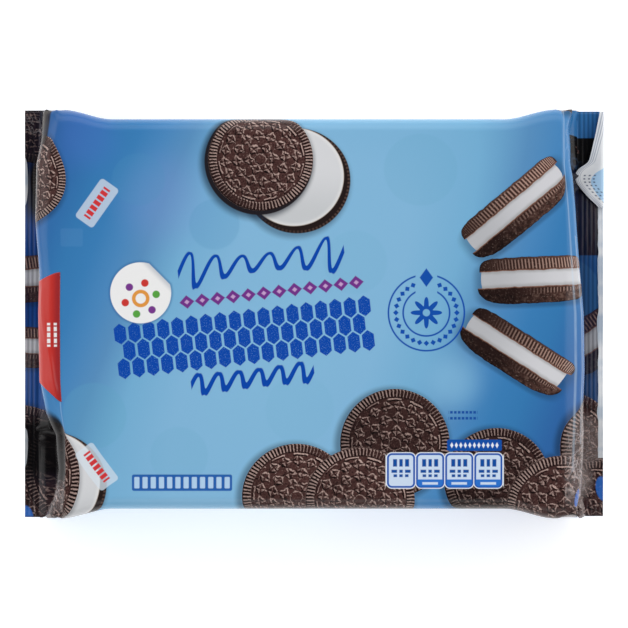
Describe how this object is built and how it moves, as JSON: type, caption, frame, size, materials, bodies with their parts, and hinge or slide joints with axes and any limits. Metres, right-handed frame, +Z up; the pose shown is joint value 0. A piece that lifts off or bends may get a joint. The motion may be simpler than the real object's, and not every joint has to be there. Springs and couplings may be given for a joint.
{
  "type": "flow-wrapped biscuit pack",
  "caption": "Shut rectangular film pack round a biscuit tray, lying flat, with crimped end fins, tucked corner ears, a folded back seam and a pull tab over one end.",
  "frame": {"origin": "centre of the footprint, on the surface that the pack lies on", "axes": "+X along the pack from the tab end to the other end, +Y across it, +Z up out of the printed face"},
  "size_m": [0.2262, 0.1588, 0.0457],
  "materials": {
    "printed_film": "printed film, semi-gloss",
    "tab_label": "printed film label, semi-gloss"
  },
  "bodies": {
    "root": {"pack": "printed_film", "pull_tab": "tab_label"}
  },
  "joints": []
}
